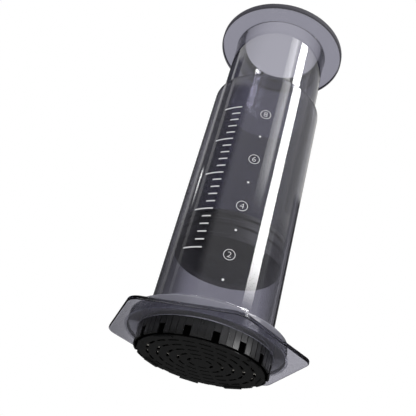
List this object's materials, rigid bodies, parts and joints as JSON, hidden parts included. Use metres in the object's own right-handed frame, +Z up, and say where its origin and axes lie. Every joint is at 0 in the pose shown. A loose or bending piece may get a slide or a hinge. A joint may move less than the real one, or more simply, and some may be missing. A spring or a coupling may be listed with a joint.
{
  "type": "piston coffee press",
  "caption": "Clear tinted tube with a six-sided flange, a sliding hollow plunger with a rubber seal, and a black slotted filter cap that locks on below.",
  "frame": {"origin": "middle of the ring of feet under the filter cap, on the surface the press stands on", "axes": "+Z up along the tube; -Y faces the side with the printed scale, square to one flat side of the six-sided flange"},
  "size_m": [0.1218, 0.1082, 0.2562],
  "materials": {
    "tinted_plastic": "clear smoky grey, polished",
    "seal_rubber": "dark grey, satin",
    "black_plastic": "black, satin",
    "filter_paper": "plain paper"
  },
  "bodies": {
    "chamber": {"brew_chamber": "tinted_plastic"},
    "seal": {"plunger_seal": "seal_rubber"},
    "plunger": {"plunger_tube": "tinted_plastic"},
    "paper": {"paper_filter": "filter_paper"},
    "cap": {"filter_cap": "black_plastic"}
  },
  "joints": [
    {"name": "plunger_slide", "type": "slide", "parent": "chamber", "child": "seal", "axis": [0, 0, 1], "range_m": [-0.0556, 0.135]},
    {"name": "plunger_turn", "type": "hinge", "parent": "seal", "child": "plunger", "pos_m": [0, 0, 0.075], "axis": [0, 0, 1], "continuous": true},
    {"name": "cap_drop", "type": "slide", "parent": "chamber", "child": "paper", "axis": [0, 0, -1], "range_m": [0, 0.03]},
    {"name": "cap_lock", "type": "hinge", "parent": "paper", "child": "cap", "pos_m": [0, 0, 0.0024], "axis": [0, 0, 1], "range_deg": [0, 11.25]}
  ]
}
